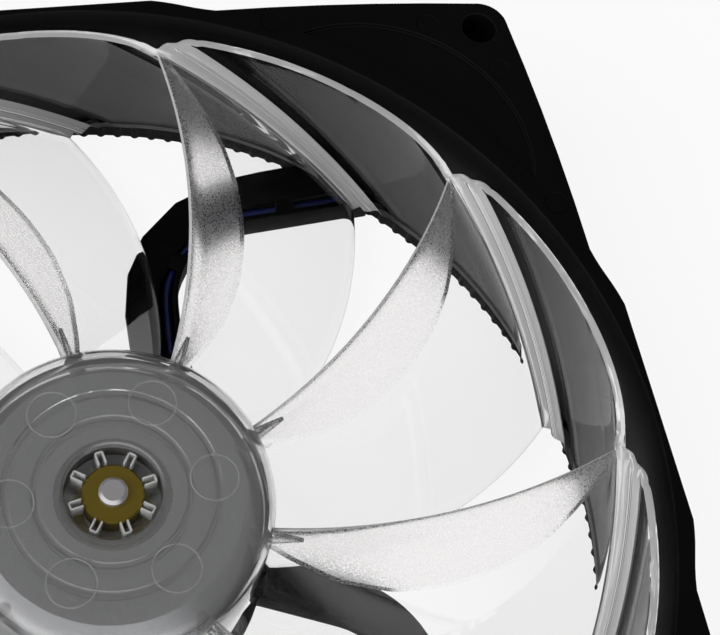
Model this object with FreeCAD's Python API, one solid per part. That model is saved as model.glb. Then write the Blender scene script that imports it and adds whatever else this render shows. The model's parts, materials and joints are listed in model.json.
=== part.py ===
import FreeCAD, Part
import math
import os
from FreeCAD import Vector

# Case fan, lying flat with its exhaust side down. Millimetres, +Z towards the intake.
# The origin is where the rotor's axis meets the exhaust-side face of the frame.

# ---- frame ----
frame_side = 120.0          # across the straight sides
frame_depth = 25.0
hole_inset = 7.5
hole_radius = 2.15
flange_thick = 4.8
flat_half = 13.0            # half length of each straight side
ear_step = 2.1              # how far the ears stand in from the straight sides
ear_step_run = 7.5
ear_taper = 1.6             # how much further in an ear is at its corner
ear_bow = 0.4
ear_corner = 3.5
duct_margin = 1.7           # what the straight sides leave of the duct's wall
duct_wall = 2.6
flare_width = 1.0
flare_height = 4.5
crescent_radius = 18.95     # shallow recess on each ear
crescent_inset = 24.4       # its centre, in from the straight sides
crescent_margin = 0.9
crescent_depth = 0.5

# ---- struts and motor base ----
strut_width = 4.8
strut_low = 0.0
strut_high = 3.8
strut_root_gap = 1.0        # clear space round the turning hub
# Places on the struts and leads are shares of half the frame's side.
strut_start = (0.217, -0.06)
strut_bend = (0.522, -0.203)
strut_end = (0.625, -0.77)
strut_turn = 12.0
base_overhang = 0.6         # how far the base reaches past the hub
base_thick = 3.0
base_rim = 1.6
underside_recess = 0.4

# ---- leads held in the strut ----
wire_dia = 1.1
wire_pitch = 1.25
wire_gap = 0.1
trough_floor = 1.8
trough_side = 0.7
wire_start = (0.14, 0.125)
wire_bend = (0.183, 0.703)
ring_bend = (0.663, 0.737)
ear_bend = (0.717, 0.8)
wire_exit = (0.617, 0.96)
wire_turn = 14.0
notch_turn = 4.0
ear_turn = 4.2
clip_places = (0.25, 0.52, 0.8)
clip_length = 2.4
clip_thick = 0.7
solder_side = 0.9

# ---- free lead ----
lead_dia = 3.0
lead_floor_gap = 0.1
collar_dia = 3.6
collar_length = 3.5
lead_route = ((0.493, 1.158), (0.175, 1.188), (-0.15, 1.187))
coil_centre = (-0.433, 1.508)
coil_radius = 16.5
coil_turns = 3
tail_route = ((9.0, -0.4), (17.0, -1.6), (25.0, -3.4))
connector_width = 7.8
connector_height = 5.8
connector_length = 12.6
connector_rib = 0.6
terminal_side = 1.3
terminal_depth = 9.0
terminal_pitch = 2.54

# ---- impeller ----
blade_count = 9
hub_radius = 17.0
hub_top = 24.0
hub_bottom = 4.7
hub_wall = 1.2
hub_face_thick = 1.6
hub_shoulder = 3.4
hub_opening_radius = 5.05
collar_wall = 0.95
star_rib_count = 8
star_rib_radius = 4.5
star_rib_width = 0.9
star_rib_top = 23.5
star_wall = 0.35
web_low = 19.8
web_thick = 1.0
face_groove_radii = (7.6, 10.4)
face_groove_width = 0.7
face_groove_depth = 0.25
first_tip_angle = -3.3      # leading tip of the blade nearest +X, degrees
ring_top = 24.0
ring_bottom = 4.6
tip_clearance = 0.7         # from the looped ring's outermost reach to the duct
ring_wall = 0.9
ring_twist = 29.0           # degrees each loop's crease winds back over the height
crease_depth = 2.5
# One loop: a tight curl out of its crease, then a long shallow arc in to the next crease,
# as (share of the way round, depth inside the ring's outermost reach).
loop_shape = ((0.0, crease_depth), (0.026, 1.1), (0.08, 0.35), (0.42, 0.0), (1.0, crease_depth))
twist_levels = 5
blade_thick_root = 1.4
blade_thick_tip = 0.9
blade_camber = 0.22
root_lead = 17.0            # degrees the root's leading edge trails the tip's
root_trail = 23.0
root_top = 21.6

# ---- rotor metal ----
yoke_wall = 0.7
yoke_bottom = 5.2
yoke_shoulder = 2.2
fit_gap = 0.05
magnet_thick = 1.8
magnet_bottom = 5.8
magnet_height = 10.0
shaft_radius = 1.5
shaft_chamfer = 0.35
shaft_bottom = 1.9
shaft_top = 24.0
bush_radius = 3.2
bush_low = 18.9
bush_top = 23.0
clip_low = 3.2
clip_height = 0.6
clip_inner = 1.12
clip_outer = 2.6

# ---- bearing ----
tube_inner = 3.6
tube_wall = 0.9
tube_low = 0.9
tube_top = 18.4
bearing_low = 4.6
bearing_top = 17.3
bearing_clearance = 0.04
washer_thick = 0.5
cap_thick = 0.6
cap_plug = 0.3
tube_lip = 0.4
thrust_gap = 0.05

# ---- stator and electronics ----
air_gap = 0.5
core_low = 8.0
core_high = 12.0
pole_count = 4
pole_shoe_thick = 1.4
pole_gap_angle = 14.0
neck_width = 3.4
core_hub_radius = 6.0
bobbin_wall = 0.6
bobbin_flange = 0.7
bobbin_sleeve = 3.6
coil_inner = 6.9
coil_outer = 10.2
coil_build = 1.5
board_low = 3.6
board_thick = 1.0
board_radius = 12.6
board_ledge = 7.0
chip_height = 1.0
hall_size = (1.6, 3.0)
driver_size = (3.0, 4.0)
chip_edge_gap = 0.6
capacitor_size = (1.25, 2.0)
pin_side = 0.64
pin_circle = 6.9

up = Vector(0, 0, 1)


def placed(share):
    """A place given as shares of half the frame's side."""
    return tuple(frame_side / 2 * v for v in share)


def polar(radius, angle, z=0.0):
    turn = math.radians(angle)
    return Vector(radius * math.cos(turn), radius * math.sin(turn), z)


def cylinder(radius, low, high, x=0.0, y=0.0):
    return Part.makeCylinder(radius, high - low, Vector(x, y, low))


def tube(outer, inner, low, high):
    return cylinder(outer, low, high).cut(cylinder(inner, low, high))


def block(length, width, low, high, centre=(0.0, 0.0), angle=0.0):
    corner = Vector(-length / 2, -width / 2, low)
    solid = Part.makeBox(length, width, high - low, corner)
    solid.rotate(Vector(0, 0, 0), up, angle)
    solid.translate(Vector(centre[0], centre[1], 0))
    return solid


def revolve(profile):
    """Solid turned about Z from (radius, z) points; a third value rounds that corner."""
    radii = [(corner + (0,))[2] for corner in profile]
    face = Part.Face(Part.Wire(rounded_path([corner[:2] for corner in profile], radii)))
    face.rotate(Vector(0, 0, 0), Vector(1, 0, 0), 90)
    return face.revolve(Vector(0, 0, 0), up, 360)


def rounded_path(points, radii, closed=True):
    """Edges through the points, with an arc where a radius is given."""
    corners = [Vector(*p) for p in points]
    count = len(corners)
    ends = []
    arcs = []
    for i, corner in enumerate(corners):
        if not radii[i]:
            ends.append((corner, corner))
            arcs.append(None)
            continue
        back = (corners[i - 1] - corner).normalize()
        ahead = (corners[(i + 1) % count] - corner).normalize()
        half = back.getAngle(ahead) / 2
        reach = radii[i] / math.tan(half)
        bisector = (back + ahead).normalize()
        middle = corner + bisector * (radii[i] / math.sin(half) - radii[i])
        ends.append((corner + back * reach, corner + ahead * reach))
        arcs.append(middle)
    edges = []
    for i in range(count):
        if arcs[i] is not None:
            edges.append(Part.Arc(ends[i][0], arcs[i], ends[i][1]).toShape())
        if closed or i < count - 1:
            start, stop = ends[i][1], ends[(i + 1) % count][0]
            if start.distanceToPoint(stop) > 1e-6:
                edges.append(Part.LineSegment(start, stop).toShape())
    return edges


def offset_route(points, radii, shift):
    """The route moved sideways by shift (to its left), corners and radii included."""
    corners = [Vector(p[0], p[1], 0) for p in points]
    sides = []
    for start, stop in zip(corners, corners[1:]):
        along = (stop - start).normalize()
        sides.append(Vector(-along.y, along.x, 0))
    moved = [corners[0] + sides[0] * shift]
    for i in range(1, len(corners) - 1):
        bisector = sides[i - 1] + sides[i]
        moved.append(corners[i] + bisector * (2 * shift / bisector.Length ** 2))
    moved.append(corners[-1] + sides[-1] * shift)
    new_radii = [0.0]
    for i in range(1, len(corners) - 1):
        left_turn = sides[i - 1].cross(sides[i]).z > 0
        new_radii.append(radii[i] - shift if left_turn else radii[i] + shift)
    return [(p.x, p.y) for p in moved], new_radii + [0.0]


def bent_bar(points, radii, width, low, high):
    """A flat bar of constant width that follows a bent route."""
    left_points, left_radii = offset_route(points, radii, width / 2)
    right_points, right_radii = offset_route(points, radii, -width / 2)
    left = rounded_path(left_points, left_radii, closed=False)
    right = rounded_path(right_points, right_radii, closed=False)
    ends = []
    for one, other in ((left_points[0], right_points[0]), (left_points[-1], right_points[-1])):
        ends.append(Part.LineSegment(Vector(*one, 0), Vector(*other, 0)).toShape())
    outline = Part.Wire(Part.__sortEdges__(left + right + ends))
    face = Part.Face(outline)
    face.translate(Vector(0, 0, low))
    return face.extrude(Vector(0, 0, high - low))


def gentle_radii(points):
    """The largest tangent arc that each corner's two runs leave room for."""
    corners = [Vector(*p) for p in points]
    radii = [0.0]
    for before, corner, after in zip(corners, corners[1:], corners[2:]):
        turn = (corner - before).getAngle(after - corner)
        shorter = min((corner - before).Length, (after - corner).Length)
        radii.append(0.45 * shorter / math.tan(turn / 2))
    return radii + [0.0]


def round_tube(points, radii, diameter):
    """A cord along straight runs joined by tangent arcs."""
    edges = rounded_path(points, radii, closed=False)
    path = Part.Wire(Part.__sortEdges__(edges))
    start = Vector(*points[0])
    ring = Part.Wire(Part.makeCircle(diameter / 2, start, Vector(*points[1]) - start))
    solid = path.makePipeShell([ring], True, False)
    expected = path.Length * math.pi * diameter ** 2 / 4
    shown = ", ".join("%.1f" % r for r in radii if r)
    print("cord %.1f mm thick, %.1f mm long, radii %s, volume / expected %.4f"
          % (diameter, path.Length, shown, solid.Volume / expected))
    return solid


def around(shape, count, offset=0.0):
    copies = []
    for i in range(count):
        copy = shape.copy()
        copy.rotate(Vector(0, 0, 0), up, offset + 360.0 * i / count)
        copies.append(copy)
    return copies


def save(name, shape):
    if len(shape.Solids) == 1:
        shape = shape.Solids[0]
    if not shape.isValid():
        print("not valid:", name)
    shape.exportStep("parts/%s.step" % name)
    print("%-22s solids %d  volume %10.2f" % (name, len(shape.Solids), shape.Volume))


# ---- derived places ----
half_side = frame_side / 2
hole_offset = half_side - hole_inset
duct_radius = half_side - duct_margin
duct_outer = duct_radius + duct_wall
crescent_centre = half_side - crescent_inset
base_radius = hub_radius + base_overhang
ring_radius = duct_radius - tip_clearance
wire_level = trough_floor + wire_gap + wire_dia / 2
trough_width = 2 * wire_pitch + wire_dia + 4 * wire_gap
wire_route = [placed(p) for p in (wire_start, wire_bend, ring_bend, ear_bend, wire_exit)]
lead_exit = Vector(*wire_route[-1])
coil_middle = Vector(*placed(coil_centre))
wire_radii = (0.0, wire_turn, notch_turn, ear_turn, 0.0)
tube_outer = tube_inner + tube_wall
hub_inner = hub_radius - hub_wall
hub_ceiling = hub_top - hub_face_thick
collar_outer = hub_opening_radius + collar_wall
yoke_outer = hub_inner - fit_gap
magnet_outer = yoke_outer - yoke_wall - fit_gap
magnet_inner = magnet_outer - magnet_thick
core_radius = magnet_inner - air_gap
lead_level = collar_dia / 2 + lead_floor_gap
board_top = board_low + board_thick
crease_radius = ring_radius - crease_depth


def bulged(start, stop, sagitta):
    """Arc that bows to the right of its chord by the sagitta."""
    chord = stop - start
    side = Vector(chord.y, -chord.x, 0).normalize()
    return Part.Arc(start, (start + stop) * 0.5 + side * sagitta, stop).toShape()


def flange_outline():
    """One quarter of the flange edge, repeated four times: flat, step in, ear, corner."""
    inset = half_side - ear_step
    ear_start = flat_half + ear_step_run
    tip = inset - ear_taper
    step_bow = ear_step ** 2 / (4 * ear_step_run)
    flat_low = Vector(half_side, -flat_half, 0)
    flat_high = Vector(half_side, flat_half, 0)
    mid_step = Vector(half_side - ear_step / 2, flat_half + ear_step_run / 2, 0)
    step_end = Vector(inset, ear_start, 0)
    corner_low = Vector(tip, tip - ear_corner, 0)

    def mirrored(p):
        return Vector(p.y, p.x, 0)

    quarter = [Part.LineSegment(flat_low, flat_high).toShape(),
               bulged(flat_high, mid_step, step_bow / 2),
               bulged(mid_step, step_end, -step_bow / 2),
               bulged(step_end, corner_low, ear_bow),
               bulged(corner_low, mirrored(corner_low), ear_corner * (1 - math.sqrt(0.5))),
               bulged(mirrored(corner_low), mirrored(step_end), ear_bow),
               bulged(mirrored(step_end), mirrored(mid_step), -step_bow / 2),
               bulged(mirrored(mid_step), mirrored(flat_high), step_bow / 2)]
    edges = []
    for i in range(4):
        for edge in quarter:
            copy = edge.copy()
            copy.rotate(Vector(0, 0, 0), up, 90 * i)
            edges.append(copy)
    return Part.Face(Part.Wire(edges))


def inlet_bore():
    """The air passage: a straight duct that flares at the intake face."""
    reach = 1.0
    flare_start = frame_depth - flare_height
    bore = cylinder(duct_radius, -reach, flare_start + 0.01)
    low = Vector(duct_radius, 0, flare_start)
    high = Vector(duct_radius + flare_width, 0, frame_depth)
    middle = Vector(duct_radius + flare_width * 0.3, 0, flare_start + flare_height * 0.58)
    lip = Vector(duct_radius + flare_width, 0, frame_depth + reach)
    edges = [Part.Arc(low, middle, high).toShape(),
             Part.LineSegment(high, lip).toShape(),
             Part.LineSegment(lip, Vector(0, 0, lip.z)).toShape(),
             Part.LineSegment(Vector(0, 0, lip.z), Vector(0, 0, low.z)).toShape(),
             Part.LineSegment(Vector(0, 0, low.z), low).toShape()]
    flare = Part.Face(Part.Wire(edges)).revolve(Vector(0, 0, 0), up, 360)
    return bore.fuse(flare)


def crescent_recess():
    """The shallow sickle-shaped recess in the face of one ear."""
    low = frame_depth - crescent_depth
    sickle = cylinder(crescent_radius, low, frame_depth + 1, crescent_centre, crescent_centre)
    return sickle.cut(cylinder(duct_outer + crescent_margin, low - 1, frame_depth + 2))


def plain_strut():
    return bent_bar([placed(p) for p in (strut_start, strut_bend, strut_end)], (0, strut_turn, 0),
                    strut_width, strut_low, strut_high)


def wire_strut_route():
    """The wire strut's own stretch of the wires' route, run on into the duct wall."""
    return wire_route[:3], (0, wire_turn, 0)


def wire_clips():
    """Small bridges that hold the wires down in the strut's trough."""
    points, radii = wire_strut_route()
    path = Part.Wire(Part.__sortEdges__(rounded_path(points, radii, closed=False)))
    clips = []
    for share in clip_places:
        stations = path.discretize(41)
        index = int(share * 40)
        place = stations[index]
        along = stations[index + 1] - stations[index - 1]
        angle = math.degrees(math.atan2(along.y, along.x))
        clips.append(block(clip_length, trough_width + 2 * trough_side,
                           strut_high - clip_thick, strut_high, (place.x, place.y), angle))
    return clips


def wire_trough():
    """The channel for the wires, from under the board to beyond the ear's edge."""
    start, bend = Vector(*wire_route[0]), Vector(*wire_route[1])
    start += (start - bend).normalize() * (solder_side + 4 * wire_gap)
    past = lead_exit + exit_direction() * collar_length
    route = [(start.x, start.y)] + wire_route[1:-1] + [(past.x, past.y)]
    return bent_bar(route, wire_radii, trough_width, trough_floor, flange_thick + 0.01)


def make_frame_housing():
    outline = flange_outline()
    flanges = []
    for low in (0.0, frame_depth - flange_thick):
        plate = outline.copy()
        plate.translate(Vector(0, 0, low))
        flanges.append(plate.extrude(Vector(0, 0, flange_thick)))
    duct = cylinder(duct_outer, 0, frame_depth).common(
        block(frame_side, frame_side, 0, frame_depth))
    shell = duct.multiFuse(flanges).cut(inlet_bore())
    holes = around(cylinder(hole_radius, -1, frame_depth + 1, hole_offset, hole_offset), 4)
    shell = shell.cut(Part.makeCompound(holes + around(crescent_recess(), 4)))

    base = cylinder(base_radius, 0, base_thick)
    ledge = tube(board_ledge, tube_outer, base_thick, board_low)
    wide = trough_width + 2 * trough_side
    wire_bar = bent_bar(*wire_strut_route(), wide, strut_low, strut_high)
    plain = around(plain_strut(), 4)
    into_duct = cylinder(duct_radius + duct_wall / 2, 0, frame_depth)
    hub_space = cylinder(hub_radius + strut_root_gap, base_thick, frame_depth)
    bars = [bar.common(into_duct).cut(hub_space) for bar in [wire_bar, plain[0]] + plain[2:]]
    frame = shell.multiFuse([base, ledge] + bars).cut(wire_trough())
    frame = frame.multiFuse([clip.cut(hub_space) for clip in wire_clips()])
    seat = cylinder(tube_outer, tube_low, base_thick + 2)
    mouth = cylinder(tube_outer - tube_lip, -1, tube_low + 1)
    underside = cylinder(base_radius - base_rim, -1, underside_recess)
    return frame.cut(Part.makeCompound([seat.fuse(mouth)])).cut(underside).removeSplitter()


def ring_loops(inner_offset, extra=0.0):
    """The looped outline as a solid, wound back by its twist from the top to the bottom.

    Each loop leaves its crease in a tight curl and comes back in to the next crease in one
    long shallow arc.
    """
    pitch = 360.0 / blade_count
    height = ring_top - ring_bottom + 2 * extra
    wires = []
    for level in range(twist_levels + 1):
        z = ring_top + extra - height * level / twist_levels
        start = first_tip_angle - ring_twist * (ring_top - z) / (ring_top - ring_bottom)
        edges = []
        for loop in range(blade_count):
            corners = []
            for share, depth in loop_shape:
                radius = ring_radius - inner_offset - depth
                corners.append(polar(radius, start - pitch * (loop + share), z))
            edges.append(Part.Arc(*corners[:3]).toShape())
            edges.append(Part.Arc(*corners[2:]).toShape())
        wires.append(Part.Wire(edges))
    return Part.makeLoft(wires, True, True)


def make_ring():
    return ring_loops(0.0).cut(ring_loops(ring_wall, extra=0.5))


def blade_point(radius, tip_angle, share):
    """Middle surface of a blade; share runs from the leading edge to the trailing edge."""
    span = (radius - hub_radius) / (crease_radius - hub_radius)
    span_low = max(span, 0.0)
    lead = tip_angle - root_lead * (1 - span)
    trail = tip_angle - ring_twist - root_trail * (1 - span_low ** 1.25)
    top = ring_top - 0.4 - (ring_top - 0.4 - root_top) * (1 - span_low) ** 2
    camber = blade_camber * (1 - span_low)
    drop = share - camber * share * (1 - share)
    return lead + (trail - lead) * share, top + (ring_bottom + blade_thick_tip / 2 - top) * drop


def blade_section(radius, tip_angle, thick):
    """Closed outline of the blade on a cylinder about the axis."""
    stations = 5
    above = []
    below = []
    for i in range(stations):
        share = i / (stations - 1)
        angle, z = blade_point(radius, tip_angle, share)
        angle_2, z_2 = blade_point(radius, tip_angle, share + 0.01)
        run = math.radians(angle_2 - angle) * radius
        rise = z_2 - z
        length = math.hypot(run, rise)
        half = thick / 2 * (0.45 if i in (0, stations - 1) else 1.0)
        side = math.degrees(-rise / length * half / radius)
        lift = run / length * half
        above.append(polar(radius, angle + side, z + lift))
        below.append(polar(radius, angle - side, z - lift))
    upper = Part.BSplineCurve()
    upper.interpolate(above)
    lower = Part.BSplineCurve()
    lower.interpolate(below[::-1])
    edges = [upper.toShape(),
             Part.LineSegment(above[-1], below[-1]).toShape(),
             lower.toShape(),
             Part.LineSegment(below[0], above[0]).toShape()]
    return Part.Wire(edges)


def make_blade(tip_angle):
    tip = crease_radius - ring_wall * 0.4
    inside_hub = hub_radius - hub_wall * 0.6
    radii = [inside_hub + (tip - inside_hub) * share for share in (0, 0.25, 0.5, 0.75, 1)]
    wires = []
    for radius in radii:
        share = (radius - inside_hub) / (tip - inside_hub)
        thick = blade_thick_root + (blade_thick_tip - blade_thick_root) * share
        wires.append(blade_section(radius, tip_angle, thick))
    skin = Part.makeLoft(wires, False, True)
    ends = [Part.makeFilledFace(wires[i].Edges) for i in (0, -1)]
    shell = Part.makeCompound(skin.Faces + ends)
    shell.sewShape(0.001)
    return Part.makeSolid(shell.Shells[0])


def make_hub():
    outer = hub_radius
    inner = hub_inner
    bevel = hub_shoulder - hub_wall
    shell = revolve([(collar_outer, hub_ceiling), (inner - bevel, hub_ceiling),
                     (inner, hub_ceiling - bevel), (inner, hub_bottom), (outer, hub_bottom),
                     (outer, hub_top, hub_shoulder),
                     (hub_opening_radius, hub_top), (hub_opening_radius, web_low + web_thick),
                     (bush_radius, web_low + web_thick), (bush_radius, web_low),
                     (collar_outer, web_low)])
    star = tube(bush_radius + star_wall, bush_radius, web_low + web_thick, star_rib_top)
    rib_start = bush_radius + star_wall / 2
    rib = block(star_rib_radius - rib_start, star_rib_width, web_low + web_thick,
                star_rib_top, ((star_rib_radius + rib_start) / 2, 0))
    shell = shell.multiFuse([star] + around(rib, star_rib_count))
    for radius in face_groove_radii:
        shell = shell.cut(tube(radius + face_groove_width, radius,
                               hub_top - face_groove_depth, hub_top + 1))
    return shell


def make_impeller():
    pitch = 360.0 / blade_count
    body = make_hub()
    blades = []
    for i in range(blade_count):
        blades.append(make_blade(first_tip_angle + pitch * i))
    solid = body.multiFuse(blades + [make_ring()])
    return solid


def make_rotor_yoke():
    """Deep-drawn steel cup that carries the magnet inside the hub."""
    outer, top = yoke_outer, hub_ceiling
    inner, under = outer - yoke_wall, hub_ceiling - yoke_wall
    hole = collar_outer + fit_gap
    bevel = yoke_shoulder - yoke_wall / 2
    return revolve([(hole, under), (inner - bevel, under), (inner, under - bevel),
                    (inner, yoke_bottom), (outer, yoke_bottom), (outer, top - yoke_shoulder),
                    (outer - yoke_shoulder, top), (hole, top)])


def make_ring_magnet():
    return tube(magnet_outer, magnet_inner, magnet_bottom, magnet_bottom + magnet_height)


def make_hub_bush():
    body = tube(bush_radius, shaft_radius, bush_low, bush_top)
    return body.makeChamfer(0.2, [e for e in body.Edges if abs(e.BoundBox.ZMin - bush_top) < 0.01
                                  and abs(e.BoundBox.XMax - bush_radius) < 0.01])


def make_shaft():
    groove_low, groove_high = clip_low - 0.05, clip_low + clip_height + 0.05
    waist = clip_inner - 0.02
    c = shaft_chamfer
    return revolve([(0, shaft_bottom), (shaft_radius - c, shaft_bottom),
                    (shaft_radius, shaft_bottom + c), (shaft_radius, groove_low),
                    (waist, groove_low), (waist, groove_high), (shaft_radius, groove_high),
                    (shaft_radius, shaft_top - c), (shaft_radius - c, shaft_top), (0, shaft_top)])


def make_retaining_clip():
    ring = tube(clip_outer, clip_inner, clip_low, clip_low + clip_height)
    mouth = block(clip_outer * 2, clip_inner * 1.3, clip_low - 1, clip_low + 2, (clip_outer, 0))
    return ring.cut(mouth)


def make_bearing_tube():
    return tube(tube_outer, tube_inner, tube_low, tube_top)


def make_sleeve_bearing():
    return tube(tube_inner, shaft_radius + bearing_clearance, bearing_low, bearing_top)


def make_oil_washer():
    return tube(tube_inner - fit_gap, shaft_radius + 0.08, bearing_top, bearing_top + washer_thick)


def make_tube_cap():
    disc = cylinder(tube_outer - tube_lip - fit_gap, tube_low - cap_thick, tube_low)
    return disc.fuse(cylinder(tube_inner - fit_gap, tube_low, tube_low + cap_plug))


def make_thrust_pad():
    return cylinder(tube_inner - fit_gap, tube_low + cap_plug, shaft_bottom - thrust_gap)


def make_stator_core():
    """Laminated core: a hub, four necks and four arc-shaped pole shoes."""
    hub = tube(core_hub_radius, tube_outer + fit_gap, core_low, core_high)
    shoes = tube(core_radius, core_radius - pole_shoe_thick, core_low, core_high)
    pitch = 360.0 / pole_count
    gap = 2 * core_radius * math.sin(math.radians(pole_gap_angle / 2))
    slots = around(block(core_radius * 2, gap, core_low - 1, core_high + 1, (core_radius, 0)),
                   pole_count, pitch / 2)
    neck_length = core_radius - pole_shoe_thick / 2 - core_hub_radius + 0.6
    neck = block(neck_length, neck_width, core_low, core_high,
                 (core_hub_radius - 0.6 + neck_length / 2, 0))
    return hub.multiFuse([shoes.cut(Part.makeCompound(slots))] + around(neck, pole_count))


def make_bobbin(low, high, spool_low, spool_high):
    """One insulating half: a sleeve round the tube and a plate along each neck."""
    sleeve = tube(core_hub_radius, tube_outer + fit_gap, low, high)
    reach = coil_outer + bobbin_flange - core_hub_radius + 0.6
    arm = block(reach, neck_width, spool_low, spool_high, (core_hub_radius - 0.6 + reach / 2, 0))
    flange = block(bobbin_flange, neck_width + 2 * coil_build, spool_low - 0.0,
                   spool_high, (coil_outer + bobbin_flange / 2, 0))
    lip_low, lip_high = (high - 3.0, high) if spool_low > core_low else (spool_low - 2.0, spool_high)
    lip = block(bobbin_flange, neck_width + 2 * coil_build, lip_low, lip_high,
                (coil_outer + bobbin_flange / 2, 0))
    return sleeve.multiFuse(around(arm.multiFuse([flange, lip]), pole_count))


def make_coil():
    """Copper winding round one neck and its bobbin arms."""
    length = coil_outer - coil_inner
    centre = (coil_inner + length / 2, 0)
    wall = fit_gap / 2
    low, high = core_low - bobbin_wall, core_high + bobbin_wall
    outer = block(length, neck_width + 2 * coil_build, low - coil_build, high + coil_build, centre)
    outer = outer.makeFillet(coil_build * 0.8, [e for e in outer.Edges
                                                if abs(e.Length - length) < 1e-6])
    core = block(length + 2, neck_width + 2 * wall, low - wall, high + wall, centre)
    return outer.cut(core)


def make_circuit_board():
    return tube(board_radius, tube_outer + fit_gap, board_low, board_top)


def make_chip(size, angle):
    """A flat component that sits on the board, near its edge."""
    place = polar(board_radius - chip_edge_gap - size[0] / 2, angle)
    return block(*size, board_top, board_top + chip_height, (place.x, place.y), angle)


def make_solder_joints():
    """Where the three leads end under the board."""
    joints = []
    start = Vector(*wire_route[0])
    along = (Vector(*wire_route[1]) - start).normalize()
    left = Vector(-along.y, along.x, 0)
    angle = math.degrees(math.atan2(along.y, along.x))
    for i in (-1, 0, 1):
        place = start + left * (i * wire_pitch) - along * (solder_side / 2)
        joints.append(block(solder_side, solder_side, trough_floor + wire_gap, board_low,
                            (place.x, place.y), angle))
    return Part.makeCompound(joints)


def make_winding_pins():
    pins = []
    for angle in (45, 135, 225, 315):
        place = polar(pin_circle, angle)
        pins.append(block(pin_side, pin_side, board_top, core_low - 0.6, (place.x, place.y), angle))
    return Part.makeCompound(pins)


def make_wires():
    for i, name in ((1, "strut_wire_1"), (0, "strut_wire_2"), (-1, "strut_wire_3")):
        points, radii = offset_route(wire_route, wire_radii, i * wire_pitch)
        raised = [(x, y, wire_level) for x, y in points]
        save(name, round_tube(raised, radii, wire_dia))


def exit_direction():
    return (lead_exit - Vector(*wire_route[-2])).normalize()


def lead_points():
    """From the collar to where the lead runs onto its coil, by the hand-chosen points."""
    level = Vector(0, 0, lead_level)
    start = lead_exit + level + exit_direction() * collar_length
    centre = coil_middle + level
    away = Vector(*placed(lead_route[-1])) - coil_middle
    spread = math.degrees(math.acos(coil_radius / away.Length))
    heading = math.degrees(math.atan2(away.y, away.x))
    touch = centre + polar(coil_radius, heading - spread)
    middle = [(x, y, lead_level) for x, y in map(placed, lead_route)]
    return [tuple(start)] + middle + [tuple(touch)]


def tail_points():
    """From the top of the coil, down to the connector that lies beside it."""
    top = coil_middle + Vector(0, coil_radius, lead_level + lead_dia * (coil_turns - 1))
    low = connector_height / 2 + lead_floor_gap
    levels = (top.z, low, low)
    return [tuple(top)] + [(top.x + x, top.y + y, z) for (x, y), z in zip(tail_route, levels)]


def make_connector(points):
    """Connector shell with a keyed side, and one terminal in each of its cavities."""
    last, before = Vector(*points[-1]), Vector(*points[-2])
    along = (last - before).normalize()
    angle = math.degrees(math.atan2(along.y, along.x))
    half = connector_height / 2
    shell = Part.makeBox(connector_length, connector_width, connector_height,
                         Vector(0, -connector_width / 2, -half))
    keys = []
    for y in (-connector_width / 2, connector_width / 2 - connector_rib):
        keys.append(Part.makeBox(connector_length, connector_rib, connector_rib,
                                 Vector(0, y, half)))
    cavities = []
    terminals = []
    wide = terminal_side + 4 * fit_gap
    for i in (-1, 0, 1):
        y = i * terminal_pitch
        cavities.append(Part.makeBox(terminal_depth + 1, wide, wide,
                                     Vector(connector_length - terminal_depth, y - wide / 2, -wide / 2)))
        terminals.append(Part.makeBox(terminal_depth - 1, terminal_side, terminal_side,
                                      Vector(connector_length - terminal_depth,
                                             y - terminal_side / 2, -terminal_side / 2)))
    shell = shell.multiFuse(keys).cut(Part.makeCompound(cavities))
    for name, shape in (("connector_shell", shell), ("connector_terminals", Part.makeCompound(terminals))):
        shape.rotate(Vector(0, 0, 0), up, angle)
        shape.translate(last)
        save(name, shape)


def make_free_lead():
    """Collar, the lead's run to its coil, the coil, the tail to the connector."""
    start = lead_exit + Vector(0, 0, lead_level)
    save("lead_collar", Part.makeCylinder(collar_dia / 2, collar_length, start, exit_direction()))
    run = lead_points()
    save("lead_cable", round_tube(run, gentle_radii(run), lead_dia))
    coil = tube(coil_radius + lead_dia / 2, coil_radius - lead_dia / 2,
                lead_level - lead_dia / 2, lead_level + lead_dia * (coil_turns - 0.5))
    coil.translate(coil_middle)
    save("lead_coil", coil)
    tail = tail_points()
    save("lead_tail", round_tube(tail, gentle_radii(tail), lead_dia))
    make_connector(tail)


if __name__ == "__main__":
    os.makedirs("parts", exist_ok=True)
    save("frame_housing", make_frame_housing())
    save("impeller", make_impeller())
    save("rotor_yoke", make_rotor_yoke())
    save("ring_magnet", make_ring_magnet())
    save("hub_bush", make_hub_bush())
    save("shaft", make_shaft())
    save("retaining_clip", make_retaining_clip())
    save("bearing_tube", make_bearing_tube())
    save("sleeve_bearing", make_sleeve_bearing())
    save("oil_washer", make_oil_washer())
    save("tube_cap", make_tube_cap())
    save("thrust_pad", make_thrust_pad())
    save("stator_core", make_stator_core())
    save("upper_bobbin", make_bobbin(core_high, core_high + bobbin_sleeve,
                                     core_high, core_high + bobbin_wall))
    save("lower_bobbin", make_bobbin(board_top, core_low, core_low - bobbin_wall, core_low))
    for i, coil in enumerate(around(make_coil(), pole_count)):
        save("coil_%d" % (i + 1), coil)
    save("circuit_board", make_circuit_board())
    save("hall_sensor", make_chip(hall_size, 45))
    save("driver_chip", make_chip(driver_size, 225))
    save("board_capacitor", make_chip(capacitor_size, 135))
    save("solder_joints", make_solder_joints())
    save("winding_pins", make_winding_pins())
    make_wires()
    make_free_lead()
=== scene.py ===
import json
import math

import bpy
from mathutils import Matrix, Vector


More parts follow.
